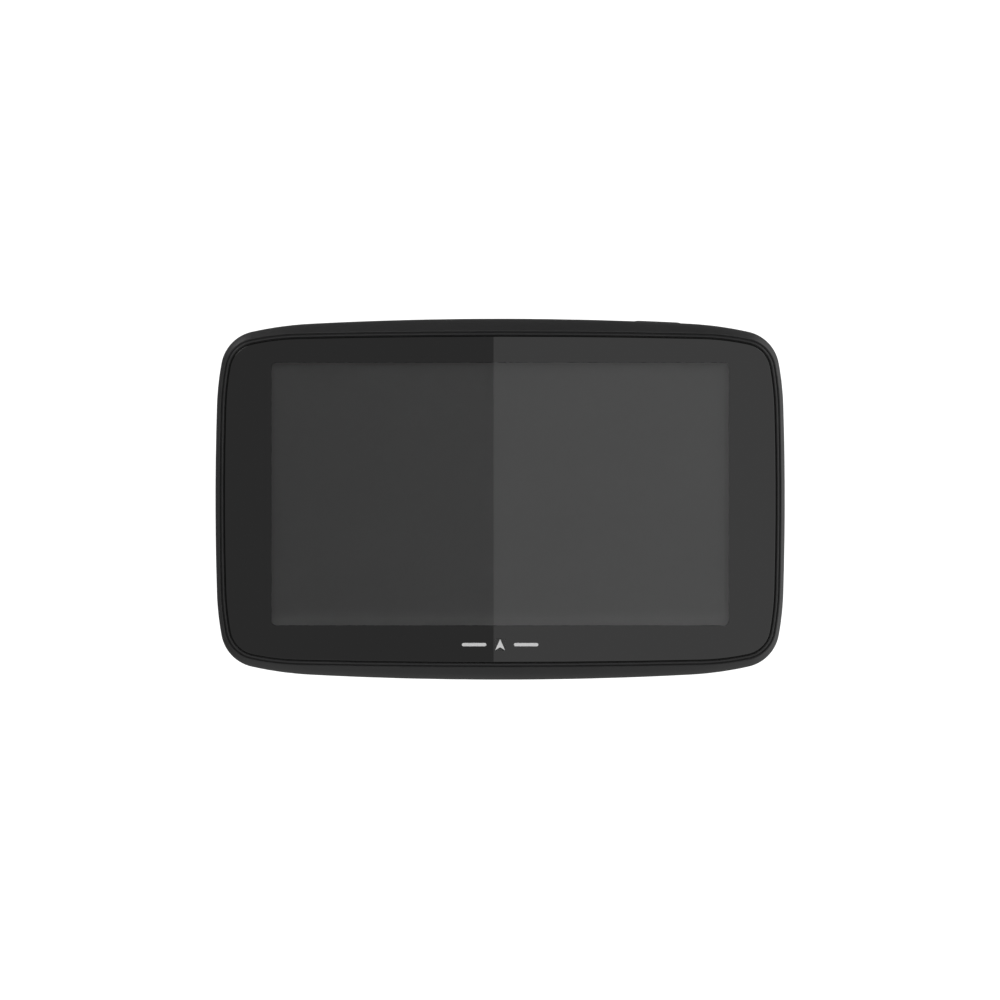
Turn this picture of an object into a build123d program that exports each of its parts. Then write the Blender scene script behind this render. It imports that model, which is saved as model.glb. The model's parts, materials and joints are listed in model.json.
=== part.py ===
"""Portable in-car navigator: a flat glass front in a two-shell casing, with its electronics inside.

Frame: +X to the right and +Z up as the driver sees the screen, +Y from the screen to the back.
The origin is the centre of the dock's seat, on the back. A depth is always a distance behind the
front face. Everything is in millimetres.
"""
import math
import os

from build123d import *

# ---- driving dimensions -------------------------------------------------------------------
width, height, depth = 144.6, 91.66, 22.6
dock_radius, dock_depth = 19.0, 3.0
wall = 1.8                      # casing wall
gap = 0.1                       # clearance between assembled pieces
front_y = dock_depth - depth    # the front face; the dock seat is at y = 0

# Outlines of tangent arcs: the turns of the five arcs from top centre to right centre, in
# degrees, and the radii of the middle three.
casing = {"half": (width / 2, height / 2), "turns": (3.0, 9.7, 66.7, 8.8, 1.8), "mids": (89.3, 10.0, 70.7)}
lens = {"half": (70.14, 41.54), "turns": (1.3, 11.0, 67.5, 8.6, 1.6), "mids": (63.2, 7.4, 72.7)}

# Window in the lens border, and the display behind it, a little above the middle of the front
window_width, window_height, window_round = 116.0, 66.6, 1.3
display_width, display_height, display_round = 119.6, 70.4, 0.8
display_z = 1.3
display_foot = display_z - display_height / 2

# Offsets outwards from the lens outline
glass_edge, mask_edge, tape_edge, ledge_edge = -0.15, -0.6, -0.9, -1.4
rim_inner, rim_outer = 0.15, 0.80
shell_mouth, band_start = 1.05, 1.30

# Depths
glass_back, mask_front, mask_back, film_front, film_back = 1.10, 1.12, 1.20, 1.22, 1.42
rim_front, bezel_seat, bezel_back = 0.05, 1.60, 5.4
shell_front, ledge_front, ledge_back = 0.20, 2.2, 3.8
cell_front, cell_back, tray_front, tray_back = 1.50, 2.70, 2.72, 4.60
chassis_front, chassis_back = 5.7, 6.5
seam_front, seam_back = 9.0, 9.1
board_front, board_back = 9.6, 10.6
boss_start = 14.2
inner_back = depth - wall
seat_depth = depth - dock_depth

# The back rounds over from the seam to a flat plateau
seam_chamfer = 0.2
back_start = seam_back + seam_chamfer
back_inset = 20.0
back_run = depth - back_start
back_steps = 5

# Places, in x and z, seen from the front
case_screws = [(x, z) for x in (-47.0, 47.0) for z in (-20.5, 20.5)]
board_screw_places = [(-58.0, -34.0), (57.5, -34.5), (57.5, 34.0), (17.0, 34.0)]
speaker_x = 37.0
button = {"x": 40.0, "depth": 12.3, "wide": 12.0, "thick": 3.0}
pipe = {"x": 27.0, "depth": 11.9, "radius": 0.85}
usb = {"x": 0.0, "depth": 11.85, "wide": 7.5, "thick": 2.5}
card = {"x": 24.0, "depth": 11.45, "wide": 11.0, "thick": 0.9}
reset = {"x": -22.0, "depth": 11.9}
mic = {"x": -11.0, "depth": 12.65}
contact_z, contact_pitch, contact_count = -10.5, 2.8, 5
beyond = 50.0                   # a height above, or below, the whole casing


# ---- small helpers ------------------------------------------------------------------------
def plate(face, near, far):
    """The flat face, drawn as the driver sees it, from one depth to another."""
    placed = Plane.XZ.offset(-(front_y + near)) * face
    return extrude(placed, amount=far - near, dir=(0, 1, 0))


def disc(x, z, radius, near, far):
    return plate(Pos(x, z) * Circle(radius), near, far)


def pad(x, z, wide, tall, near, far, corner=0.0):
    """A rectangular block, with rounded corners if corner isn't 0."""
    face = RectangleRounded(wide, tall, corner) if corner else Rectangle(wide, tall)
    return plate(Pos(x, z) * face, near, far)


def upright(x, at_depth, face, low, high):
    """The face, drawn in X and depth, from one height to another."""
    placed = Pos(x, front_y + at_depth, low) * face
    return extrude(placed, amount=high - low, dir=(0, 0, 1))


def through(stations, ruled=False):
    """A solid through faces at depths, given as (depth, face)."""
    return loft([Plane.XZ.offset(-(front_y + at)) * face for at, face in stations], ruled=ruled)


def ribbon(points, bend, thick, left, right):
    """A flexible strip that follows (depth, z) points, from x = left to x = right."""
    path = FilletPolyline(*[(front_y + at, z) for at, z in points], radius=bend)
    return extrude(Plane.YZ.offset(left) * trace(path, line_width=thick), amount=right - left, dir=(1, 0, 0))


def wire(points, bend, radius):
    """A round wire along (x, depth, z) points with rounded corners."""
    path = FilletPolyline(*[(x, front_y + at, z) for x, at, z in points], radius=bend)
    return sweep(Plane(path @ 0, z_dir=path % 0) * Circle(radius), path=path)


def cross_slot(x, z, reach, thick, near, far):
    return pad(x, z, reach, thick, near, far) + pad(x, z, thick, reach, near, far)


def group(shapes):
    return Compound(children=list(shapes))


def outline(half, turns, mids, grow=0.0):
    """A face bounded by tangent arcs, symmetric about both axes. The radii of the long arcs, at
    the top and the side, follow from the half width and half height."""
    half_x, half_z = half[0] + grow, half[1] + grow
    mids = [radius + grow for radius in mids]
    heads = [0.0]
    for turn in turns:
        heads.append(heads[-1] + math.radians(turn))
    run = [math.sin(b) - math.sin(a) for a, b in zip(heads, heads[1:])]
    drop = [math.cos(a) - math.cos(b) for a, b in zip(heads, heads[1:])]
    left_x = half_x - sum(r * s for r, s in zip(mids, run[1:4]))
    left_z = half_z - sum(r * s for r, s in zip(mids, drop[1:4]))
    both = run[0] * drop[4] - run[4] * drop[0]
    top = (left_x * drop[4] - run[4] * left_z) / both
    side = (run[0] * left_z - left_x * drop[0]) / both

    x, z, corner = 0.0, half_z, []
    for radius, a, b in zip([top, *mids, side], heads, heads[1:]):
        centre_x, centre_z = x - radius * math.sin(a), z - radius * math.cos(a)
        for heading in ((a + b) / 2, b):
            x, z = centre_x + radius * math.sin(heading), centre_z + radius * math.cos(heading)
            corner.append((x, z))
    corner = corner[1:8]        # from the end of the top arc to the start of the side arc
    ring = corner + [(half_x, 0.0)] + [(x, -z) for x, z in reversed(corner)] + [(0.0, -half_z)]
    ring += [(-x, -z) for x, z in ring]
    arcs = [ThreePointArc(ring[i], ring[i + 1], ring[(i + 2) % len(ring)]) for i in range(0, len(ring), 2)]
    return make_face(arcs)


def lens_face(grow=0.0):
    return outline(**lens, grow=grow)


def casing_face(grow=0.0):
    return outline(**casing, grow=grow)


def display_face(wider=0.0, corner=display_round):
    return Pos(0, display_z) * RectangleRounded(display_width + wider, display_height + wider, corner)


# ---- the casing's outer form --------------------------------------------------------------
def band_face(share):
    """The outline between the front band's start, at share 0, and the widest outline, at 1."""
    def between(near, far):
        return [a + share * (b - a) for a, b in zip(near, far)]
    start_half = [size + band_start for size in lens["half"]]
    start_mids = [radius + band_start for radius in lens["mids"]]
    half = between(start_half, casing["half"])
    turns = between(lens["turns"], casing["turns"])
    return outline(half, turns, between(start_mids, casing["mids"]))


def front_form():
    """The convex band around the glass, and the straight side behind it down to the seam."""
    band = [(shell_front, 0.0), (1.5, 0.40), (3.1, 0.76), (4.9, 0.95), (6.6, 1.0)]
    stations = [(at, band_face(share)) for at, share in band]
    lip_start = seam_front - seam_chamfer
    body = through(stations + [(lip_start, casing_face())])
    return body + through([(lip_start, casing_face()), (seam_front, casing_face(-seam_chamfer))], ruled=True)


def back_form(inside=0.0):
    """The rounded back, drawn in by a wall's thickness, or let out if inside is negative."""
    stations = []
    for step in range(back_steps + 1):
        angle = math.radians(90 * step / back_steps)
        half = [size - back_inset * (1 - math.cos(angle)) for size in casing["half"]]
        share = half[0] / casing["half"][0]
        mids = [radius * share for radius in casing["mids"]]
        at = back_start + (back_run - inside) * math.sin(angle)
        stations.append((at, outline(half, casing["turns"], mids, grow=-inside)))
    return through(stations)


# ---- display stack ------------------------------------------------------------------------
display_flex_x, display_flex_wide = -17.0, 22.0
touch_flex_x, touch_flex_wide = 25.0, 8.0
flex_thick, flex_bend = 0.15, 0.5
flex_drop = display_foot - 1.3      # where the flexes run down behind the border
flex_rise = -29.6                   # where they pass through the chassis
flex_behind, flex_socket = 5.15, 8.75
flex_end = -25.5


def flex_notches(near, far):
    """The cuts that let both flexes round the lower edge of the display."""
    side, tall = 1.0, 2.5
    cuts = []
    for x, wide in ((display_flex_x, display_flex_wide), (touch_flex_x, touch_flex_wide)):
        cuts.append(pad(x, display_foot - tall / 2, wide + 2 * side, tall, near, far))
    return cuts


def cover_glass():
    glass = plate(lens_face(glass_edge), 0.0, glass_back)
    return chamfer(glass.faces().sort_by(Axis.Y)[0].edges(), 0.18)


def border_mask():
    """The black border bonded behind the glass, open over the display."""
    window = Pos(0, display_z) * RectangleRounded(window_width, window_height, window_round)
    return plate(lens_face(mask_edge) - window, mask_front, mask_back)


def touch_film():
    return plate(display_face(1.4), film_front, film_back)


def lens_tape():
    ring = plate(lens_face(tape_edge) - display_face(1.6), film_front, bezel_seat)
    return ring - flex_notches(film_back, bezel_seat)


def front_bezel():
    """The thin rim around the glass, the sill of the crease around it, and the frame behind the glass."""
    opening = display_face(0.4)
    rim_slope, rim_break, sill_edge, sill_front = 0.28, 0.12, 1.0, 0.95
    collar = plate(lens_face(rim_outer) - lens_face(rim_inner), rim_front, bezel_seat)
    rim_face = collar.faces().sort_by(Axis.Y)[0]
    collar = chamfer(rim_face.inner_wires()[0].edges(), rim_break)
    collar = chamfer(collar.faces().sort_by(Axis.Y)[0].outer_wire().edges(), rim_slope)
    collar += plate(lens_face(sill_edge) - lens_face(rim_inner + 0.2), sill_front, bezel_seat)
    seat = plate(lens_face(rim_outer) - opening, bezel_seat, ledge_front)
    body = plate(lens_face(ledge_edge - gap) - opening, ledge_front, bezel_back)
    return collar + seat + body - flex_notches(bezel_seat, bezel_back)


def lcd_cell():
    return plate(display_face(corner=0.4), cell_front, cell_back)


def lcd_tray():
    """The folded pan behind the cell that holds the light guide."""
    sheet, hole_x, hole_z, hole_radius = 0.3, 30.0, 18.0, 2.0
    pan = plate(display_face(), tray_front, tray_back)
    pan -= plate(display_face(-2 * sheet), tray_front, tray_back - sheet)
    for x in (-hole_x, hole_x):
        for z in (display_z - hole_z, display_z + hole_z):
            pan -= disc(x, z, hole_radius, tray_front, tray_back)
    return pan


def light_guide():
    return plate(display_face(-1.0, 0.4), tray_front + 0.06, tray_back - 0.36)


def tray_foam():
    outer, inner = -6.0, -14.0
    ring = plate(display_face(outer) - display_face(inner), tray_back, chassis_front)
    flex_cut_x, flex_cut_wide = -0.5, 70.0
    return ring - pad(flex_cut_x, display_foot + 5, flex_cut_wide, 6.0, tray_back, chassis_front)


def flex_route(start_depth, start_z):
    """Down past the display's lower edge, up its back, then through the chassis to the board."""
    route = [(start_depth, start_z), (start_depth, flex_drop), (flex_behind, flex_drop)]
    return route + [(flex_behind, flex_rise), (flex_socket, flex_rise), (flex_socket, flex_end)]


def flex_strip(x, wide, start_depth, start_z):
    return ribbon(flex_route(start_depth, start_z), flex_bend, flex_thick, x - wide / 2, x + wide / 2)


def display_flex():
    return flex_strip(display_flex_x, display_flex_wide, cell_front + 0.6, display_foot - 0.03)


def touch_flex():
    return flex_strip(touch_flex_x, touch_flex_wide, film_back + flex_thick / 2 + 0.02, display_foot - 0.03)


def flex_connectors():
    """The two flat sockets on the board's front side."""
    cheek, tall, bottom, slot = 1.0, 3.4, -26.3, 0.4
    sockets = []
    for x, wide in ((display_flex_x, display_flex_wide), (touch_flex_x, touch_flex_wide)):
        body = pad(x, bottom + tall / 2, wide + 2 * cheek, tall, flex_socket - 0.75, board_front)
        sockets.append(body - pad(x, bottom, wide + 0.3, 2.0, flex_socket - slot / 2, flex_socket + slot / 2))
    return group(sockets)


# ---- casing -------------------------------------------------------------------------------
lip_gap, lip_thick = 0.5, 1.0       # inside the casing wall
lip_front, lip_root, lip_back = 7.4, 9.3, 10.3
screw_clear, screw_counterbore, counterbore_floor = 1.2, 2.4, 19.2
grille_wide, grille_tall, grille_round = 23.0, 31.0, 5.0
grille_seat = depth - 1.0
speaker_wide, speaker_tall = 22.0, 30.0
speaker_front, speaker_back = 15.8, 20.25
card_outer_z, card_long = -45.3, 15.0


def front_shell():
    mouth = plate(lens_face(shell_mouth), 0.0, ledge_front)
    ledge = plate(lens_face(ledge_edge), ledge_front, ledge_back)
    cavity = plate(casing_face(-wall - lip_gap + gap), ledge_back, seam_front)
    return front_form() - mouth - ledge - cavity


def rear_lip():
    """The tongue on the rear cover that fits inside the front shell along the seam."""
    outer, inner = casing_face(-wall - lip_gap), casing_face(-wall - lip_gap - lip_thick)
    root = casing_face(-wall / 2) - inner
    return plate(outer - inner, lip_front, lip_back) + plate(root, lip_root, lip_back)


def speaker_pocket():
    """A rib around the speaker on the inside of the rear cover."""
    rib, clearance, front = 1.0, 0.4, 17.5
    wide, tall = speaker_wide + clearance, speaker_tall + clearance
    face = RectangleRounded(wide + 2 * rib, tall + 2 * rib, 5.0) - RectangleRounded(wide, tall, 4.6)
    return plate(Pos(speaker_x, 0) * face, front, inner_back + gap)


def edge_openings():
    """The cuts through the top edge (button, light) and the bottom edge (sockets, pinholes)."""
    slot = SlotOverall(button["wide"] + 0.3, button["thick"] + 0.3)
    inner = 40.0
    thumb_radius, thumb_deep = 8.0, 0.8
    thumb_z = -(height / 2) - thumb_radius + thumb_deep + 0.25
    return [
        upright(button["x"], button["depth"], slot, inner, beyond),
        upright(pipe["x"], pipe["depth"], Circle(pipe["radius"] + gap), inner, beyond),
        upright(usb["x"], usb["depth"], RectangleRounded(8.6, 3.4, 1.0), -beyond, -inner),
        upright(card["x"], card["depth"], RectangleRounded(12.0, 1.6, 0.5), -beyond, -inner),
        disc(card["x"], thumb_z, thumb_radius, card["depth"] - 1.8, card["depth"] + 1.8),
        upright(reset["x"], reset["depth"], Circle(0.8), -beyond, -inner),
        upright(mic["x"], mic["depth"], Circle(0.6), -beyond, -inner),
    ]


def rear_cover():
    skirt = through([(seam_back, casing_face(-seam_chamfer)), (back_start, casing_face())], ruled=True)
    cavity = back_form(wall) + plate(casing_face(-wall), seam_back, back_start)
    cover = skirt + back_form() - cavity + rear_lip() + speaker_pocket()
    boss_radius, boss_end = 3.1, inner_back + 0.4
    for x, z in case_screws:
        cover += disc(x, z, boss_radius, boss_start, boss_end)
    for x, z in case_screws:
        cover -= disc(x, z, screw_clear, boss_start, depth)
        cover -= disc(x, z, screw_counterbore, counterbore_floor, depth)
    cover -= disc(0, 0, cup_radius + gap, inner_back - 1, depth)
    cover -= pad(speaker_x, 0, grille_wide, grille_tall, grille_seat, depth, grille_round)
    cover -= pad(speaker_x, 0, 20.6, 28.6, inner_back - 1, depth, 4.2)
    return cover - edge_openings()


def grille_holes():
    """Places of the grille's holes: a staggered grid inside a rounded rectangle."""
    pitch, edge_x, edge_z, corner = 2.0, 9.2, 12.8, 2.6
    row_step = pitch * math.sqrt(3) / 2
    places = []
    for row in range(-7, 8):
        for column in range(-5, 6):
            x, z = (column + 0.5 * (row % 2)) * pitch, row * row_step
            outside_x, outside_z = max(0, abs(x) - edge_x + corner), max(0, abs(z) - edge_z + corner)
            if math.hypot(outside_x, outside_z) <= corner:
                places.append((x, z))
    return places


def speaker_grille():
    hole_radius, edge_gap = 0.6, 0.15
    sheet = RectangleRounded(grille_wide - 2 * edge_gap, grille_tall - 2 * edge_gap, grille_round - edge_gap)
    sheet -= [Pos(x, z) * Circle(hole_radius) for x, z in grille_holes()]
    return plate(Pos(speaker_x, 0) * sheet, grille_seat + 0.05, depth - 0.05)


def speaker_mesh():
    return pad(speaker_x, 0, 20.2, 28.2, grille_seat - 0.25, grille_seat, 4.0)


def rear_screws():
    head_radius, head_deep, thread_radius, tip = 2.1, 1.3, 0.98, 8.5
    top = counterbore_floor + head_deep
    screws = []
    for x, z in case_screws:
        head = disc(x, z, head_radius, counterbore_floor, top) - cross_slot(x, z, 2.3, 0.55, top - 0.8, top)
        screws.append(head + disc(x, z, thread_radius, tip, counterbore_floor))
    return group(screws)


# ---- dock ---------------------------------------------------------------------------------
cup_wall, cup_floor = 1.4, 1.4
cup_radius = dock_radius + cup_wall
magnet_places = [(-9.5, 3.0), (9.5, 3.0)]
magnet_radius, magnet_thick = 4.5, 1.6
magnet_front = seat_depth - cup_floor - magnet_thick - 0.02
dock_socket_z = -32.3


def contact_face(grow=0.0):
    return Pos(0, contact_z) * SlotOverall(17.3 + grow, 5.5 + grow)


def contact_xs():
    middle = (contact_count - 1) / 2
    return [contact_pitch * (step - middle) for step in range(contact_count)]


def dock_cup():
    """The round recess on the back that takes the dock, with three key notches in its wall."""
    floor_front = seat_depth - cup_floor
    cup = plate(Circle(cup_radius), floor_front, depth) - plate(Circle(dock_radius), seat_depth, depth)
    mouth = cup.faces().sort_by(Axis.Y)[-1].edges().sort_by(SortBy.RADIUS)[0]
    cup = chamfer(mouth, 0.3)
    cup += plate(Circle(cup_radius + 2.6) - Circle(cup_radius - 0.5), inner_back - 1.2, inner_back - 0.05)
    for angle in (0, 120, 240):
        key = Rot(0, 0, angle) * Pos(0, dock_radius + 0.2) * Rectangle(4.0, 2.0)
        cup -= plate(key, seat_depth, depth)
    return cup - plate(contact_face(gap), floor_front, seat_depth)


def dock_magnets():
    return group(disc(x, z, magnet_radius, magnet_front, magnet_front + magnet_thick) for x, z in magnet_places)


def magnet_keeper():
    """The steel strip behind both magnets, held by their pull."""
    side_x, z = magnet_places[1]
    reach = 2 * (side_x + magnet_radius)
    return pad(0, z, reach, 2 * magnet_radius, magnet_front - 0.62, magnet_front - 0.02, 4.0)


def contact_block():
    floor_front = seat_depth - cup_floor
    block = plate(contact_face(), floor_front - 0.8, seat_depth - 0.1)
    block += plate(contact_face(2.0), floor_front - 0.8, floor_front - 0.05)
    for x in contact_xs():
        block -= disc(x, contact_z, 1.0, floor_front - 0.8, seat_depth)
    return block


def contact_pads():
    """Gilded pins, nearly flush with the block in the dock, with solder tails behind it."""
    block_front = seat_depth - cup_floor - 0.8
    pads = []
    for x in contact_xs():
        pin = disc(x, contact_z, 1.0, block_front, seat_depth - 0.18)
        pads.append(pin + disc(x, contact_z, 0.5, block_front - 0.8, block_front))
    return group(pads)


def dock_leads():
    """One wire from each contact's tail down to the board's dock connector."""
    tail_end = seat_depth - cup_floor - 1.6
    level, radius, bend = 14.4, 0.35, 0.8
    leads = []
    for x in contact_xs():
        route = [(x, tail_end, contact_z), (x, level, contact_z), (x, level, dock_socket_z)]
        leads.append(wire(route + [(x, board_back + 2.1, dock_socket_z)], bend, radius))
    return group(leads)


# ---- chassis and board --------------------------------------------------------------------
def chassis():
    """The pressed plate that carries the board and takes the case screws."""
    sheet = RectangleRounded(131.0, 77.0, 7.0)
    slots = [Pos(display_flex_x, flex_rise) * Rectangle(display_flex_wide + 2, 3.0)]
    slots += [Pos(touch_flex_x, flex_rise) * Rectangle(touch_flex_wide + 2, 3.0)]
    slots += [Pos(x, 0) * SlotOverall(20.0, 5.0, rotation=90) for x in (-57.0, 57.0)]
    frame = plate(sheet - slots, chassis_front, chassis_back)
    for x, z in case_screws:
        frame += disc(x, z, 2.4, chassis_back, boss_start - gap)
    for x, z in board_screw_places:
        frame += disc(x, z, 2.0, chassis_back, board_front)
    for x, z in case_screws:
        frame -= disc(x, z, 1.0, chassis_back + 1, boss_start)
    for x, z in board_screw_places:
        frame -= disc(x, z, 0.8, chassis_front, board_front)
    return frame


def main_board():
    """An L: a strip along the bottom, and a column on the right beside the battery."""
    strip = Pos(0, -25.5) * RectangleRounded(124.0, 31.0, 8.0)
    column = Pos(37.0, 0) * RectangleRounded(50.0, 77.0, 4.0)
    lip_inner = -wall - lip_gap - lip_thick
    board = plate((strip + column) & casing_face(lip_inner - 0.3), board_front, board_back)
    for x, z in case_screws:
        board -= disc(x, z, 2.6, board_front, board_back)
    for x, z in board_screw_places:
        board -= disc(x, z, 0.9, board_front, board_back)
    return board


def board_screws():
    head_radius, head_thick, thread_radius = 1.7, 1.0, 0.78
    top = board_back + head_thick
    screws = []
    for x, z in board_screw_places:
        head = disc(x, z, head_radius, board_back, top) - cross_slot(x, z, 1.9, 0.45, top - 0.6, top)
        screws.append(head + disc(x, z, thread_radius, chassis_front, board_back))
    return group(screws)


def shield_can(x, z, wide, tall, high=1.8, sheet=0.2):
    """A folded metal can, open towards the board, with vent holes."""
    can = pad(x, z, wide, tall, board_back, board_back + high, 0.6)
    can -= pad(x, z, wide - 2 * sheet, tall - 2 * sheet, board_back, board_back + high - sheet, 0.4)
    for column in range(-2, 3):
        for row in (-1, 0, 1):
            can -= disc(x + column * wide / 6, z + row * tall / 4, 0.6, board_back + 1, board_back + high)
    return can


def processor_shield():
    return shield_can(x=2.0, z=-20.5, wide=26.0, tall=18.0)


def radio_shield():
    return shield_can(x=38.0, z=-7.0, wide=22.0, tall=18.0)


def chip(x, z, wide, tall, thick):
    """A moulded package with the dimple that marks its first corner."""
    body = pad(x, z, wide, tall, board_back, board_back + thick, 0.2)
    dimple_x, dimple_z = x - wide / 2 + 1, z + tall / 2 - 1
    return body - disc(dimple_x, dimple_z, 0.3, board_back + thick - 0.1, board_back + thick)


def processor():
    return chip(x=2.0, z=-20.5, wide=14.0, tall=14.0, thick=1.2)


def memory_chips():
    return group(chip(x=x, z=-22.0, wide=9.0, tall=12.0, thick=1.0) for x in (-38.0, -25.5))


def power_chip():
    return chip(x=-36.0, z=-35.5, wide=6.0, tall=6.0, thick=0.9)


def gps_receiver():
    return chip(x=38.0, z=-7.0, wide=9.0, tall=9.0, thick=1.0)


def audio_chip():
    return chip(x=24.0, z=10.0, wide=7.0, tall=5.0, thick=0.9)


def capacitors():
    """Rows of small blocks beside the chips."""
    count, pitch, long, short, thick = 6, 2.2, 1.6, 0.8, 0.7
    blocks = []
    for number in range(count):
        step = pitch * number
        for x in (-52.0, -31.75):
            blocks.append(pad(x, -16.0 - step, short, long, board_back, board_back + thick))
        for x, z in ((19.0, 14.5), (30.0, 5.0)):
            blocks.append(pad(x + step, z, long, short, board_back, board_back + thick))
    return group(blocks)


def coils():
    side, thick = 4.0, 2.0
    places = [(54.0, 0.0), (16.5, 24.0), (-27.5, -35.5)]
    return group(pad(x, z, side, side, board_back, board_back + thick, 0.8) for x, z in places)


patch = {"x": 30.5, "z": 26.0, "side": 18.0, "thick": 4.0, "feed_z": 24.5}


def gps_patch():
    """The ceramic block of the satellite antenna, drilled for its feed pin."""
    back = board_back + patch["thick"]
    block = pad(patch["x"], patch["z"], patch["side"], patch["side"], board_back, back, 0.6)
    return block - disc(patch["x"], patch["feed_z"], 0.5, board_back, back)


def gps_electrode():
    """The silvered square on the patch, and the feed pin through it."""
    top, silver, side = board_back + patch["thick"], 0.06, 14.0
    square = pad(patch["x"], patch["z"], side, side, top, top + silver)
    pin = disc(patch["x"], patch["feed_z"], 0.45, board_back, top)
    return square + pin + disc(patch["x"], patch["feed_z"], 0.9, top, top + 0.3)


def radio_antenna():
    return pad(58.5, 15.0, 3.0, 9.0, board_back, board_back + 1.1, 0.2)


# ---- battery, speaker and their wiring ----------------------------------------------------
cell = {"x": -17.0, "z": 14.5, "wide": 52.0, "tall": 42.0, "front": 6.8, "back": 11.8}
battery_socket = {"x": -17.0, "z": -13.2}
speaker_socket = {"x": 37.0, "z": -22.0}
socket_face = 1.7                   # from a wire socket's middle to the face its wires enter


def battery():
    pouch = pad(cell["x"], cell["z"], cell["wide"], cell["tall"], cell["front"], cell["back"], 2.0)
    return fillet(pouch.faces().sort_by(Axis.Y)[-1].edges(), 0.9)


def battery_pad():
    return pad(cell["x"], cell["z"], 40.0, 30.0, chassis_back, cell["front"], 2.0)


def lead_pair(x, spread, points, radius=0.4, bend=0.5):
    """Two wires side by side along the same (depth, z) points."""
    return group(wire([(side, at, z) for at, z in points], bend, radius) for side in (x - spread, x + spread))


def battery_leads():
    foot = cell["z"] - cell["tall"] / 2
    level, socket_top = 9.3, battery_socket["z"] + socket_face
    points = [(level, foot), (level, foot - 1.6), (11.6, foot - 2.9), (11.6, socket_top)]
    return lead_pair(battery_socket["x"], 1.2, points)


def speaker_leads():
    foot = -speaker_tall / 2
    points = [(16.8, foot), (16.8, foot - 2.4), (11.6, foot - 2.4), (11.6, speaker_socket["z"] + socket_face)]
    return lead_pair(speaker_socket["x"], 1.2, points)


def wire_sockets():
    """The board's three wire connectors: battery, speaker and dock."""
    high = 2.0
    housings = [
        pad(place["x"], place["z"], 6.0, 2 * socket_face, board_back, board_back + high, 0.2)
        for place in (battery_socket, speaker_socket)
    ]
    dock_end = pad(0, dock_socket_z, 15.0, 2 * socket_face, board_back, board_back + high, 0.2)
    return group(housings + [dock_end])


def speaker_frame():
    """The basket: a tray open to the back, with a hole for the magnet."""
    sheet = 0.8
    basket = pad(speaker_x, 0, speaker_wide, speaker_tall, speaker_front, speaker_back, 4.4)
    inner_wide, inner_tall = speaker_wide - 2 * sheet - 1, speaker_tall - 2 * sheet - 1
    basket -= pad(speaker_x, 0, inner_wide, inner_tall, speaker_front + sheet, speaker_back, 3.6)
    return basket - disc(speaker_x, 0, 5.0, speaker_front, speaker_back)


def speaker_magnet():
    cap = disc(speaker_x, 0, 7.0, speaker_front - 1.5, speaker_front)
    return cap + disc(speaker_x, 0, 4.9, speaker_front, speaker_front + 1.6)


def speaker_cone():
    """A flat surround with a shallow dome over the voice coil."""
    near, far, dome_radius, dome_high = 19.0, 19.25, 16.0, 0.9
    sheet = pad(speaker_x, 0, 19.2, 27.2, near, far, 3.5)
    dome = Pos(speaker_x, front_y + far + dome_high - dome_radius, 0) * Sphere(dome_radius)
    return sheet + (dome & disc(speaker_x, 0, 8.0, far - 0.1, far + dome_high))


def speaker_gasket():
    ring = RectangleRounded(speaker_wide, speaker_tall, 4.4) - RectangleRounded(19.4, 27.4, 3.6)
    return plate(Pos(speaker_x, 0) * ring, speaker_back, inner_back - 0.02)


# ---- top edge: power button and status light ----------------------------------------------
power_tip = 39.9                    # top of the power switch's plunger
power_body_top, power_body_foot = 38.8, 35.9


def power_button():
    """A slot-shaped key that follows the casing's surface, with a flange to keep it in."""
    proud, flange_foot, flange_top = 0.3, 40.2, 41.0
    at, wide, thick = button["depth"], button["wide"], button["thick"]
    key = upright(button["x"], at, SlotOverall(wide, thick), flange_top, beyond) & back_form(-proud)
    flange = upright(button["x"], at, SlotOverall(wide + 1.4, thick + 0.7), flange_foot, flange_top)
    nub = upright(button["x"], at, Rectangle(3.0, 1.6), power_tip + 0.02, flange_foot)
    return key + flange + nub


def switch_body(x, at, wide, back, foot, top, bore):
    """A side-push switch standing on the board, bored for its plunger."""
    thick = back - board_back
    body = upright(x, board_back + thick / 2, Rectangle(wide, thick), foot, top)
    return body - upright(x, at, Circle(bore), foot, top)


def power_switch():
    return switch_body(button["x"], button["depth"], 6.4, 14.0, power_body_foot, power_body_top, 1.05)


def power_switch_plunger():
    return upright(button["x"], button["depth"], Circle(1.0), power_body_foot + 0.8, power_tip)


def status_led():
    """A side-view lamp under the light pipe's inner end."""
    back = 2 * pipe["depth"] - board_back - 0.3
    lamp = pad(pipe["x"], 37.6, 3.0, 1.6, board_back, back)
    return lamp + upright(pipe["x"], pipe["depth"] - 0.2, Circle(0.8), 38.4, 38.6)


def light_pipe():
    """A clear rod from the lamp to the surface, with a collar under the wall."""
    rod = upright(pipe["x"], pipe["depth"], Circle(pipe["radius"]), 38.8, beyond) & back_form(0.02)
    return rod + upright(pipe["x"], pipe["depth"], Circle(1.3), 41.0, 41.9)


# ---- bottom edge: sockets, reset and microphone -------------------------------------------
reset_tip, reset_body_foot, reset_body_top = -42.4, -41.3, -37.9


def reset_switch():
    return switch_body(reset["x"], reset["depth"], 5.0, 13.2, reset_body_foot, reset_body_top, 0.85)


def reset_switch_plunger():
    """The stub that a pin pushes through the hole in the casing."""
    return upright(reset["x"], reset["depth"], Circle(0.8), reset_tip, reset_body_top - 0.6)


def microphone():
    mouth = -41.5
    capsule = upright(mic["x"], mic["depth"], Circle(2.0), mouth, mouth + 1.5)
    return capsule - upright(mic["x"], mic["depth"], Circle(0.5), mouth, mouth + 0.5)


def mic_boot():
    """A rubber tube from the microphone to the hole in the casing."""
    tube = upright(mic["x"], mic["depth"], Circle(1.5) - Circle(0.5), -beyond, -41.55)
    return tube & back_form(wall + 0.02)


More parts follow.
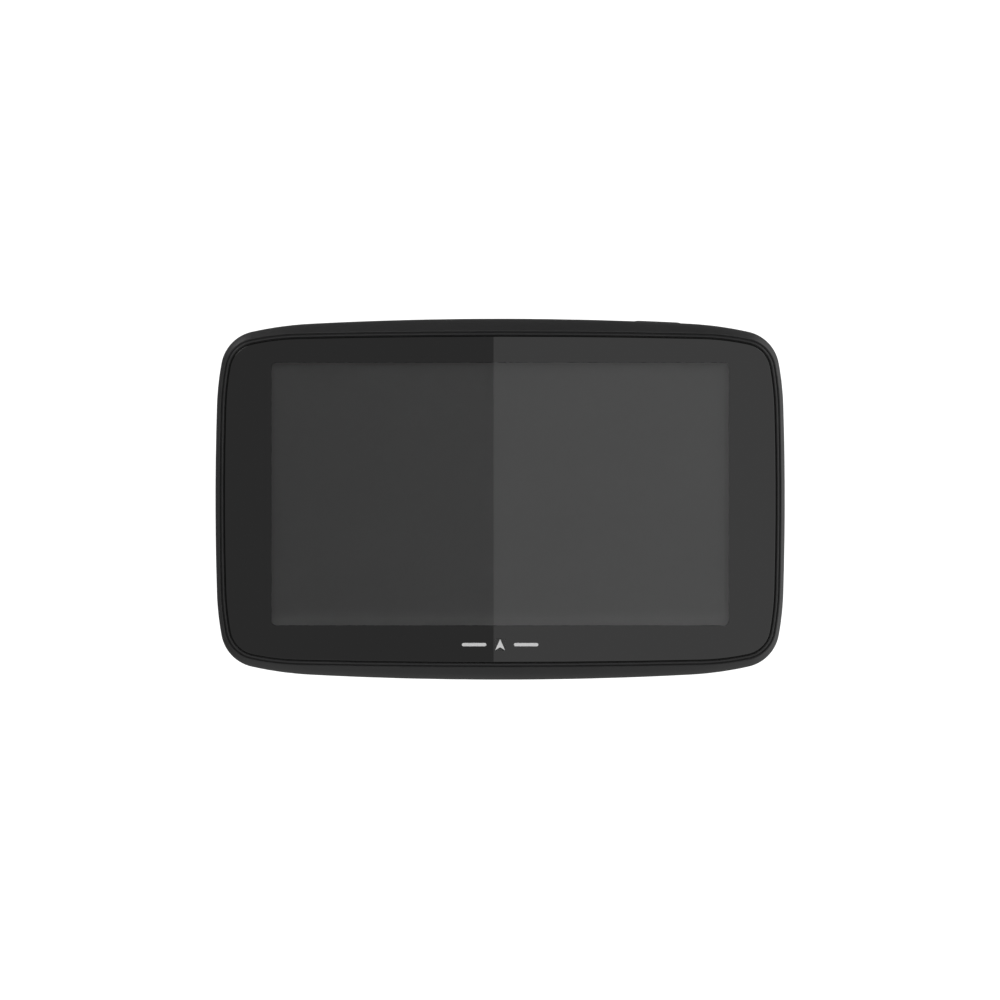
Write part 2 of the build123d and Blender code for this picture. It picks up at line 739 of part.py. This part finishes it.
def usb_socket():
    """The steel shell of the power and data socket, open at the bottom edge."""
    sheet, mouth, rear = 0.3, -44.8, -38.6
    wide, thick = usb["wide"], usb["thick"]
    shell = upright(usb["x"], usb["depth"], RectangleRounded(wide, thick, 0.9), mouth, rear)
    bore = RectangleRounded(wide - 2 * sheet, thick - 2 * sheet, 0.6)
    return shell - upright(usb["x"], usb["depth"], bore, mouth, rear - sheet)


def usb_tongue():
    """The contact tongue and the insulator behind it."""
    base = upright(usb["x"], usb["depth"], Rectangle(6.4, 1.6), -40.4, -38.95)
    return base + upright(usb["x"], usb["depth"] - 0.35, Rectangle(3.9, 0.6), -44.1, -40.4)


def card_socket():
    mouth, rear, high = -42.4, -27.6, 1.8
    shell = pad(card["x"], (mouth + rear) / 2, 14.4, rear - mouth, board_back, board_back + high, 0.4)
    bay = Rectangle(card["wide"] + 0.4, card["thick"] + 0.2)
    return shell - upright(card["x"], card["depth"], bay, mouth, rear - 0.8)


def memory_card():
    """The card as it sits in the socket: narrower at its contact end, ridged at the outer end."""
    half, step_in, shoulder, ridge = card["wide"] / 2, 1.2, card_outer_z + 8.6, 1.5
    inner = card_outer_z + card_long
    face = make_face(Polyline(
        (-half, card_outer_z), (half, card_outer_z), (half, inner), (step_in - half, inner),
        (step_in - half, shoulder + step_in), (-half, shoulder), close=True,
    ))
    near, far = card["depth"] - card["thick"] / 2, card["depth"] + card["thick"] / 2
    body = plate(Pos(card["x"], 0) * face, near, far - 0.2)
    return body + pad(card["x"], card_outer_z + ridge / 2, card["wide"], ridge, far - 0.2, far)


# ---- export -------------------------------------------------------------------------------
nodes = [
    cover_glass, border_mask, touch_film, lens_tape, front_bezel, lcd_cell, light_guide, lcd_tray,
    tray_foam, display_flex, touch_flex, flex_connectors, front_shell, rear_cover, rear_screws,
    speaker_grille, speaker_mesh, speaker_gasket, speaker_frame, speaker_cone, speaker_magnet,
    speaker_leads, dock_cup, dock_magnets, magnet_keeper, contact_block, contact_pads, dock_leads,
    chassis, main_board, board_screws, processor, processor_shield, memory_chips, power_chip,
    gps_receiver, radio_shield, audio_chip, capacitors, coils, gps_patch, gps_electrode,
    radio_antenna, battery, battery_pad, battery_leads, wire_sockets, power_button, power_switch,
    power_switch_plunger, status_led, light_pipe, reset_switch, reset_switch_plunger, microphone,
    mic_boot, usb_socket, usb_tongue, card_socket, memory_card,
]


def main():
    os.makedirs("parts", exist_ok=True)
    for node in nodes:
        export_step(node(), f"parts/{node.__name__}.step")


main()
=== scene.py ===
import bpy
import bmesh
import json
import math
from mathutils import Matrix, Vector


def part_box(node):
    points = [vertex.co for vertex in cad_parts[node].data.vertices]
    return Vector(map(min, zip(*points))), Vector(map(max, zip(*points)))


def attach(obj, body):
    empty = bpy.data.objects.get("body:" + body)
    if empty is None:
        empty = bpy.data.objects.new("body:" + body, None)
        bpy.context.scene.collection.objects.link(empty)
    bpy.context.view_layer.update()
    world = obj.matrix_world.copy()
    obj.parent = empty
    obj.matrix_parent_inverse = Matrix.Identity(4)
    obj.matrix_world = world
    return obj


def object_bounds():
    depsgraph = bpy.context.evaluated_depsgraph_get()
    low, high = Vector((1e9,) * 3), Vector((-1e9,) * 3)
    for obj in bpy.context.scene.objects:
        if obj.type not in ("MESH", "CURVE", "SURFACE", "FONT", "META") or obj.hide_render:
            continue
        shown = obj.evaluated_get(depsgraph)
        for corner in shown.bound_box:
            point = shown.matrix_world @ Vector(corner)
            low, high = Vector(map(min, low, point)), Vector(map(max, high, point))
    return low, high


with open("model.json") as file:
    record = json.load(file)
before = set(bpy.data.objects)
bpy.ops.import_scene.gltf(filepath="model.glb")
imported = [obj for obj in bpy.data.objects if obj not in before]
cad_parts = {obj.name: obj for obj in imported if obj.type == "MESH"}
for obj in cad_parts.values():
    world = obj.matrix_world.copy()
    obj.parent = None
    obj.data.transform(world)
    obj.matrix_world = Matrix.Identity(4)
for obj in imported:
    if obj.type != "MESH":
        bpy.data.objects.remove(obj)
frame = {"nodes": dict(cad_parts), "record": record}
cadLow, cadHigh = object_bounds()
nodes = frame["nodes"]
mm = 0.001
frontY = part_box("cover_glass")[0].y        # every depth is measured back from the glass
noiseSpan = (0.3, 0.7)                     # most of a noise's values lie between these
print("frame loaded:", len(nodes), "nodes")


def newMaterial(name):
    material = bpy.data.materials.new(name)
    material.use_nodes = True
    tree = material.node_tree
    return material, tree, tree.nodes["Principled BSDF"]


def addNode(tree, kind, **values):
    # a value goes into the socket of that name, or else into the node's own setting
    node = tree.nodes.new(kind)
    for name, value in values.items():
        if name in node.inputs:
            node.inputs[name].default_value = value
        else:
            setattr(node, name, value)
    return node


def mathNode(tree, operation, first, second=None):
    node = addNode(tree, "ShaderNodeMath", operation=operation)
    for socket, value in zip(node.inputs, (first, second)):
        if isinstance(value, (int, float)):
            socket.default_value = value
        elif value is not None:
            tree.links.new(value, socket)
    return node.outputs["Value"]


def mapRange(tree, value, given, made, curve="LINEAR"):
    node = addNode(tree, "ShaderNodeMapRange", interpolation_type=curve)
    for socket, number in zip(("From Min", "From Max", "To Min", "To Max"), (*given, *made)):
        node.inputs[socket].default_value = number
    tree.links.new(value, node.inputs["Value"])
    return node.outputs["Result"]


def objectPoint(tree, scale=(1, 1, 1)):
    coordinates = tree.nodes.new("ShaderNodeTexCoord")
    mapping = addNode(tree, "ShaderNodeMapping", Scale=scale)
    tree.links.new(coordinates.outputs["Object"], mapping.inputs["Vector"])
    return mapping.outputs["Vector"]


def objectAxes(tree):
    coordinates = tree.nodes.new("ShaderNodeTexCoord")
    split = tree.nodes.new("ShaderNodeSeparateXYZ")
    tree.links.new(coordinates.outputs["Object"], split.inputs["Vector"])
    return split.outputs


def noise(tree, point, scale, detail=3.0, roughness=0.55):
    texture = addNode(tree, "ShaderNodeTexNoise", Scale=scale, Detail=detail, Roughness=roughness)
    tree.links.new(point, texture.inputs["Vector"])
    return texture.outputs["Fac"]


def tinted(tree, factor, low, high):
    node = tree.nodes.new("ShaderNodeValToRGB")
    for element, place, colour in zip(node.color_ramp.elements, noiseSpan, (low, high)):
        element.position = place
        element.color = (*colour, 1)
    tree.links.new(factor, node.inputs["Fac"])
    return node.outputs["Color"]


def bump(tree, shader, height, distance):
    node = addNode(tree, "ShaderNodeBump", Strength=1.0, Distance=distance)
    tree.links.new(height, node.inputs["Height"])
    tree.links.new(node.outputs["Normal"], shader.inputs["Normal"])


def shade(colour, amount):
    return tuple(min(1.0, max(0.0, channel * amount)) for channel in colour)


def grey(level):
    return (level, level, level)


def surface(name, colour, rough, metal=0.0, patch=90, grain=6000, grainDeep=0.004 * mm,
            vary=0.12, roughVary=0.06, stretch=(1, 1, 1), **sockets):
    material, tree, shader = newMaterial(name)
    broad = noise(tree, objectPoint(tree), patch)
    fine = noise(tree, objectPoint(tree, stretch), grain, detail=2.0)
    tint = tinted(tree, broad, shade(colour, 1 - vary), shade(colour, 1 + vary))
    dullness = mapRange(tree, fine, noiseSpan, (rough - roughVary, rough + roughVary))
    tree.links.new(tint, shader.inputs["Base Color"])
    tree.links.new(dullness, shader.inputs["Roughness"])
    shader.inputs["Metallic"].default_value = metal
    for socket, value in sockets.items():
        shader.inputs[socket.replace("_", " ")].default_value = value
    bump(tree, shader, fine, grainDeep)
    return material


def insideRounded(tree, middle, half, radius):
    # 1 inside a rounded rectangle in the plane of the glass, 0 outside
    axes = objectAxes(tree)
    squares = []
    for axis, centre, reach in zip("XZ", middle, half):
        away = mathNode(tree, "ABSOLUTE", mathNode(tree, "SUBTRACT", axes[axis], centre))
        past = mathNode(tree, "MAXIMUM", mathNode(tree, "SUBTRACT", away, reach - radius), 0.0)
        squares.append(mathNode(tree, "POWER", past, 2.0))
    return mathNode(tree, "LESS_THAN", mathNode(tree, "ADD", *squares), radius ** 2)


hidden = {"sides": 1.8 * mm, "ends": 1.9 * mm}      # how far the print covers the display's edges
mark = {"wide": 19.4 * mm, "tall": 2.8 * mm, "up": -36.9 * mm, "thick": 0.014 * mm, "behind": 0.02 * mm,
        "arrowWide": 2.5 * mm, "notch": 0.75 * mm, "barLong": 6.2 * mm, "barTall": 0.85 * mm,
        "endSteps": 32, "grey": 0.6, "rough": 0.6}
barMiddle = (mark["wide"] - mark["barLong"]) / 2


def coverGlass():
    # clear over the display and the mark, and printed black on its back everywhere else
    glass = {"index": 1.5, "faces": 1.93, "printedIndex": 1.77, "print": 0.0012, "rough": 0.0,
             "windowRound": 1.35 * mm, "pastWindow": 0.05 * mm, "pastMark": 0.06 * mm,
             "low": 0.96, "high": 0.99, "cloud": 35, "stretch": (1, 1, 2.5)}
    low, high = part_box("lcd_cell")
    middle = (low + high) / 2
    half = (high - low) / 2
    material, tree, shader = newMaterial("coverGlass")
    windowHalf = (half.x - hidden["sides"] + glass["pastWindow"],
                  half.z - hidden["ends"] + glass["pastWindow"])
    clear = insideRounded(tree, (middle.x, middle.z), windowHalf, glass["windowRound"])
    past = glass["pastMark"]
    barHalf = (mark["barLong"] / 2 + past, mark["barTall"] / 2 + past)
    arrowHalf = (mark["arrowWide"] / 2 + past, mark["tall"] / 2 + past)
    for x, gapHalf, gapRound in (
        (-barMiddle, barHalf, barHalf[1]),
        (0, arrowHalf, past),
        (barMiddle, barHalf, barHalf[1]),
    ):
        gap = insideRounded(tree, (x, mark["up"]), gapHalf, gapRound)
        clear = mathNode(tree, "MAXIMUM", clear, gap)
    # the outer face carries the shine of both faces, and is clear when looked at from inside
    fresnel = addNode(tree, "ShaderNodeFresnel", IOR=glass["index"]).outputs["Fac"]
    inside = tree.nodes.new("ShaderNodeNewGeometry").outputs["Backfacing"]
    outside = mathNode(tree, "SUBTRACT", 1.0, inside)
    bothFaces = mathNode(tree, "MULTIPLY", mathNode(tree, "MULTIPLY", fresnel, glass["faces"]), outside)
    shine = mathNode(tree, "MULTIPLY", bothFaces, clear)
    printed = mathNode(tree, "SUBTRACT", 1.0, clear)
    tree.links.new(mathNode(tree, "ADD", shine, printed), shader.inputs["Alpha"])
    tree.links.new(clear, shader.inputs["Metallic"])
    faint = noise(tree, objectPoint(tree, glass["stretch"]), glass["cloud"])
    # a mix node's colours are its inputs 6 and 7, and its output 2
    blend = addNode(tree, "ShaderNodeMix", data_type="RGBA")
    blend.inputs[6].default_value = (*grey(glass["print"]), 1)
    tree.links.new(clear, blend.inputs[0])
    tree.links.new(tinted(tree, faint, grey(glass["low"]), grey(glass["high"])), blend.inputs[7])
    tree.links.new(blend.outputs[2], shader.inputs["Base Color"])
    shader.inputs["IOR"].default_value = glass["printedIndex"]
    shader.inputs["Roughness"].default_value = glass["rough"]
    return material


def clearFilm():
    film = {"low": 0.02, "high": 0.03, "alpha": 0.03, "rough": 0.25, "cloud": 60}
    material, tree, shader = newMaterial("clearFilm")
    faint = noise(tree, objectPoint(tree), film["cloud"])
    tree.links.new(tinted(tree, faint, grey(film["low"]), grey(film["high"])), shader.inputs["Base Color"])
    shader.inputs["Alpha"].default_value = film["alpha"]
    shader.inputs["Roughness"].default_value = film["rough"]
    return material


def displayGrey():
    # an unlit panel with painted light in its grey: a little paler to the right and along its bottom edge
    unlit = {"grey": 0.0325, "paintedSideLight": 0.22, "paintedBottomLight": 0.55, "paintedBottomLightTall": 5 * mm, "sheen": 1.15,
             "rough": 0.55, "roughVary": 0.04, "dots": 9000}
    low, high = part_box("lcd_cell")
    material, tree, shader = newMaterial("panelGrey")
    axes = objectAxes(tree)
    edge = low.z + hidden["ends"]
    # painted light: the grey is paler towards the right and darker towards the left
    paintedSideLightFactor = mapRange(tree, axes["X"], (low.x, high.x), (1 - unlit["paintedSideLight"], 1 + unlit["paintedSideLight"]))
    # painted light: the grey is paler along the visible bottom edge and fades out upwards
    up = mapRange(tree, axes["Z"], (edge, edge + unlit["paintedBottomLightTall"]), (unlit["paintedBottomLight"], 0), "SMOOTHSTEP")
    # the panel's own grey, scaled by both painted lights
    level = mathNode(tree, "MULTIPLY", mathNode(tree, "ADD", paintedSideLightFactor, up), unlit["grey"])
    tree.links.new(level, shader.inputs["Base Color"])
    shader.inputs["IOR"].default_value = unlit["sheen"]
    dots = noise(tree, objectPoint(tree), unlit["dots"], detail=1.0)
    dullness = (unlit["rough"] - unlit["roughVary"], unlit["rough"] + unlit["roughVary"])
    tree.links.new(mapRange(tree, dots, noiseSpan, dullness), shader.inputs["Roughness"])
    return material


materials = {
    "cover_glass": coverGlass(),
    "black_print": surface("blackPrint", grey(0.0016), 0.7, grainDeep=0.001 * mm, IOR=1.02),
    "clear_film": clearFilm(),
    "adhesive_foam": surface("adhesiveFoam", grey(0.004), 0.9, grain=2500, grainDeep=0.05 * mm),
    "casing_black": surface("casingBlack", (0.009, 0.009, 0.0092), 0.42, grain=5200, grainDeep=0.002 * mm),
    "rim_black": surface("rimBlack", (0.013, 0.013, 0.0132), 0.36, grain=5200, grainDeep=0.0015 * mm),
    "panel_grey": displayGrey(),
    "acrylic": surface("acrylic", (0.93, 0.95, 0.96), 0.08, vary=0.02, roughVary=0.03,
                       Transmission_Weight=1.0, IOR=1.49),
    "thin_steel": surface("thinSteel", (0.62, 0.63, 0.64), 0.32, 1.0, stretch=(1, 1, 12), grain=2500),
    "flex_amber": surface("flexAmber", (0.42, 0.17, 0.03), 0.4, vary=0.3, patch=900),
    "connector_ivory": surface("connectorIvory", (0.72, 0.68, 0.58), 0.5),
    "screw_black": surface("screwBlack", (0.06, 0.06, 0.062), 0.42, 1.0, grain=9000),
    "screw_steel": surface("screwSteel", (0.62, 0.62, 0.6), 0.3, 1.0, grain=9000),
    "grille_black": surface("grilleBlack", (0.015, 0.015, 0.016), 0.48, grain=7000, grainDeep=0.01 * mm),
    "mesh_black": surface("meshBlack", grey(0.01), 0.95, grain=9000, grainDeep=0.05 * mm),
    "speaker_black": surface("speakerBlack", grey(0.02), 0.5),
    "cone_film": surface("coneFilm", (0.05, 0.05, 0.055), 0.35),
    "magnet_nickel": surface("magnetNickel", (0.66, 0.65, 0.62), 0.2, 1.0),
    "wire_black": surface("wireBlack", (0.02, 0.02, 0.021), 0.5),
    "wire_red": surface("wireRed", (0.42, 0.02, 0.015), 0.45),
    "contact_black": surface("contactBlack", (0.018, 0.018, 0.019), 0.45),
    "gold": surface("gold", (0.83, 0.6, 0.25), 0.25, 1.0, grain=9000),
    "chassis_grey": surface("chassisGrey", (0.6, 0.61, 0.62), 0.38, 1.0, stretch=(10, 1, 1), grain=2500),
    "board_green": surface("boardGreen", (0.015, 0.12, 0.05), 0.35, vary=0.35, patch=700),
    "chip_black": surface("chipBlack", (0.02, 0.02, 0.021), 0.6, grain=8000, grainDeep=0.01 * mm),
    "capacitor_tan": surface("capacitorTan", (0.42, 0.28, 0.16), 0.5),
    "antenna_ceramic": surface("antennaCeramic", (0.76, 0.71, 0.62), 0.45),
    "silver": surface("silver", (0.85, 0.84, 0.81), 0.35, 1.0),
    "battery_foil": surface("batteryFoil", (0.75, 0.76, 0.78), 0.35, 1.0, patch=160, grainDeep=0.02 * mm),
    "switch_steel": surface("switchSteel", grey(0.6), 0.35, 1.0),
    "plunger_white": surface("plungerWhite", (0.75, 0.75, 0.72), 0.4),
    "led_white": surface("ledWhite", (0.85, 0.84, 0.78), 0.35),
    "boot_rubber": surface("bootRubber", grey(0.02), 0.75),
    "usb_steel": surface("usbSteel", grey(0.72), 0.25, 1.0, stretch=(1, 1, 10), grain=2500),
    "card_black": surface("cardBlack", (0.02, 0.02, 0.021), 0.4),
}
for part in frame["record"]["subparts"]:
    node = nodes[part["node"]]
    node.data.materials.clear()
    node.data.materials.append(materials[part["material_slot"]])
print("finishes given to", len(nodes), "nodes")


def glassMark():
    # a plain arrow between two bars, printed just under the glass's face
    shape = bmesh.new()
    top = mark["tall"] / 2
    side = mark["arrowWide"] / 2
    arrow = [(0, top), (side, -top), (0, mark["notch"] - top), (-side, -top)]
    shape.faces.new([shape.verts.new((x, 0, z)) for x, z in reversed(arrow)])
    upright = Matrix.Rotation(math.radians(90), 4, "X")
    longer = (mark["barLong"] - mark["barTall"]) / 2
    for middle in (-barMiddle, barMiddle):
        circle = bmesh.ops.create_circle(shape, cap_ends=True, segments=mark["endSteps"],
                                         radius=mark["barTall"] / 2, matrix=upright)
        for vert in circle["verts"]:
            vert.co.x += math.copysign(longer, vert.co.x) + middle
    solid = bmesh.ops.extrude_face_region(shape, geom=shape.faces[:])
    moved = [item for item in solid["geom"] if isinstance(item, bmesh.types.BMVert)]
    bmesh.ops.translate(shape, vec=(0, mark["thick"], 0), verts=moved)
    bmesh.ops.recalc_face_normals(shape, faces=shape.faces)
    bmesh.ops.translate(shape, vec=(0, frontY + mark["behind"], mark["up"]), verts=shape.verts)
    mesh = bpy.data.meshes.new("glass_mark")
    shape.to_mesh(mesh)
    shape.free()
    piece = bpy.data.objects.new("glass_mark", mesh)
    bpy.context.scene.collection.objects.link(piece)
    mesh.materials.append(surface("markGrey", grey(mark["grey"]), mark["rough"], vary=0.02, IOR=1.1))
    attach(piece, "casing")


glassMark()
print("mark printed on the glass")

viewAt = {"distance": 9.0, "seenWidth": 253.85 * mm, "planeDepth": 4 * mm, "left": 0.03 * mm,
          "lower": 0.2 * mm, "sensor": 36, "nearest": 0.1, "furthest": 30}
camera = bpy.data.objects.new("camera", bpy.data.cameras.new("camera"))
bpy.context.scene.collection.objects.link(camera)
camera.location = (-viewAt["left"], frontY + viewAt["planeDepth"] - viewAt["distance"], -viewAt["lower"])
camera.rotation_euler = (math.radians(90), 0, 0)
camera.data.sensor_width = viewAt["sensor"]
camera.data.lens = viewAt["sensor"] * viewAt["distance"] / viewAt["seenWidth"]
camera.data.clip_start = viewAt["nearest"]
camera.data.clip_end = viewAt["furthest"]
bpy.context.scene.camera = camera
bpy.context.scene.view_settings.view_transform = "Standard"
print("camera placed")


def paleFloor():
    # plain white from above, clear from below, and low enough to show the card drawn out
    floor = {"wide": 0.7, "front": 0.16, "back": 0.3, "under": 20 * mm, "strength": 1.05}
    shape = bmesh.new()
    bmesh.ops.create_grid(shape, x_segments=1, y_segments=1, size=0.5)
    bmesh.ops.scale(shape, vec=(floor["wide"], floor["front"] + floor["back"], 1), verts=shape.verts)
    middle = frontY + (floor["back"] - floor["front"]) / 2
    bmesh.ops.translate(shape, vec=(0, middle, cadLow.z - floor["under"]), verts=shape.verts)
    mesh = bpy.data.meshes.new("floor")
    shape.to_mesh(mesh)
    shape.free()
    white = bpy.data.materials.new("floorWhite")
    white.use_nodes = True
    tree = white.node_tree
    tree.nodes.clear()
    light = addNode(tree, "ShaderNodeEmission", Strength=floor["strength"])
    below = tree.nodes.new("ShaderNodeNewGeometry").outputs["Backfacing"]
    mix = tree.nodes.new("ShaderNodeMixShader")
    output = tree.nodes.new("ShaderNodeOutputMaterial")
    tree.links.new(below, mix.inputs[0])
    tree.links.new(light.outputs["Emission"], mix.inputs[1])
    tree.links.new(tree.nodes.new("ShaderNodeBsdfTransparent").outputs["BSDF"], mix.inputs[2])
    tree.links.new(mix.outputs["Shader"], output.inputs["Surface"])
    mesh.materials.append(white)
    ground = bpy.data.objects.new("floor", mesh)
    bpy.context.scene.collection.objects.link(ground)
    ground.visible_diffuse = False
    ground.visible_glossy = False
    ground.visible_transmission = False


def roomLight():
    # how bright the room is towards each side, and its soft bright patches
    levels = {"right": 1.25, "left": 0.07, "top": 0.05, "bottom": 0.58, "back": 0.14, "front": 0.278}
    sides = {"right": (1, 0, 0), "left": (-1, 0, 0), "top": (0, 0, 1), "bottom": (0, 0, -1),
             "back": (0, 1, 0), "front": (0, -1, 0)}
    patches = [
        {"place": (0.6, -0.66, 0.45), "radiance": 1.7, "inner": 0.94, "outer": 0.8},
        {"place": (-0.6, -0.66, 0.45), "radiance": 1.7, "inner": 0.94, "outer": 0.8},
        {"place": (-0.6, 0.28, 0.75), "radiance": 2.4, "inner": 0.98, "outer": 0.9},
        {"place": (0.62, 0.28, 0.73), "radiance": 1.3, "inner": 0.98, "outer": 0.9},
    ]
    behind = 1.2        # the lens itself sees plain white behind the object
    world = bpy.data.worlds.new("room")
    bpy.context.scene.world = world
    world.use_nodes = True
    tree = world.node_tree
    direction = tree.nodes.new("ShaderNodeTexCoord").outputs["Generated"]

    def facing(place):
        node = addNode(tree, "ShaderNodeVectorMath", operation="DOT_PRODUCT")
        node.inputs[1].default_value = Vector(place).normalized()
        tree.links.new(direction, node.inputs[0])
        return node.outputs["Value"]

    shares = []
    for side, level in levels.items():
        square = mathNode(tree, "POWER", mathNode(tree, "MAXIMUM", facing(sides[side]), 0.0), 2.0)
        shares.append(mathNode(tree, "MULTIPLY", square, level))
    for patch in patches:
        soft = mapRange(tree, facing(patch["place"]), (patch["outer"], patch["inner"]), (0, 1), "SMOOTHSTEP")
        shares.append(mathNode(tree, "MULTIPLY", soft, patch["radiance"]))
    total = shares[0]
    for share in shares[1:]:
        total = mathNode(tree, "ADD", total, share)
    # a mix node's plain values are its inputs 2 and 3, and its output 0
    seen = addNode(tree, "ShaderNodeMix", data_type="FLOAT")
    seen.inputs[3].default_value = behind
    tree.links.new(tree.nodes.new("ShaderNodeLightPath").outputs["Is Camera Ray"], seen.inputs[0])
    tree.links.new(total, seen.inputs[2])
    tree.links.new(seen.outputs[0], tree.nodes["Background"].inputs["Strength"])
    tree.nodes["Background"].inputs["Color"].default_value = (1, 1, 1, 1)


def windowLight():
    # its straight left edge shows down the middle of the glass, in two soft steps
    window = {"away": 4.0, "edge": -1.4 * mm, "soft": 0.5 * mm, "wide": 0.7, "tall": 0.8, "radiance": 0.565}
    reach = 1 + window["away"] / viewAt["distance"]
    for step in (-1, 1):
        light = bpy.data.lights.new("window", "AREA")
        light.shape = "RECTANGLE"
        light.size = window["wide"]
        light.size_y = window["tall"]
        light.energy = window["radiance"] / 2 * math.pi * window["wide"] * window["tall"]
        lamp = bpy.data.objects.new("window", light)
        bpy.context.scene.collection.objects.link(lamp)
        lamp.visible_camera = False
        left = (window["edge"] + step * window["soft"] / 2) * reach
        lamp.location = (left + window["wide"] / 2, frontY - window["away"], 0)
        lamp.rotation_euler = (math.radians(90), 0, 0)


paleFloor()
roomLight()
windowLight()
print("studio ready")
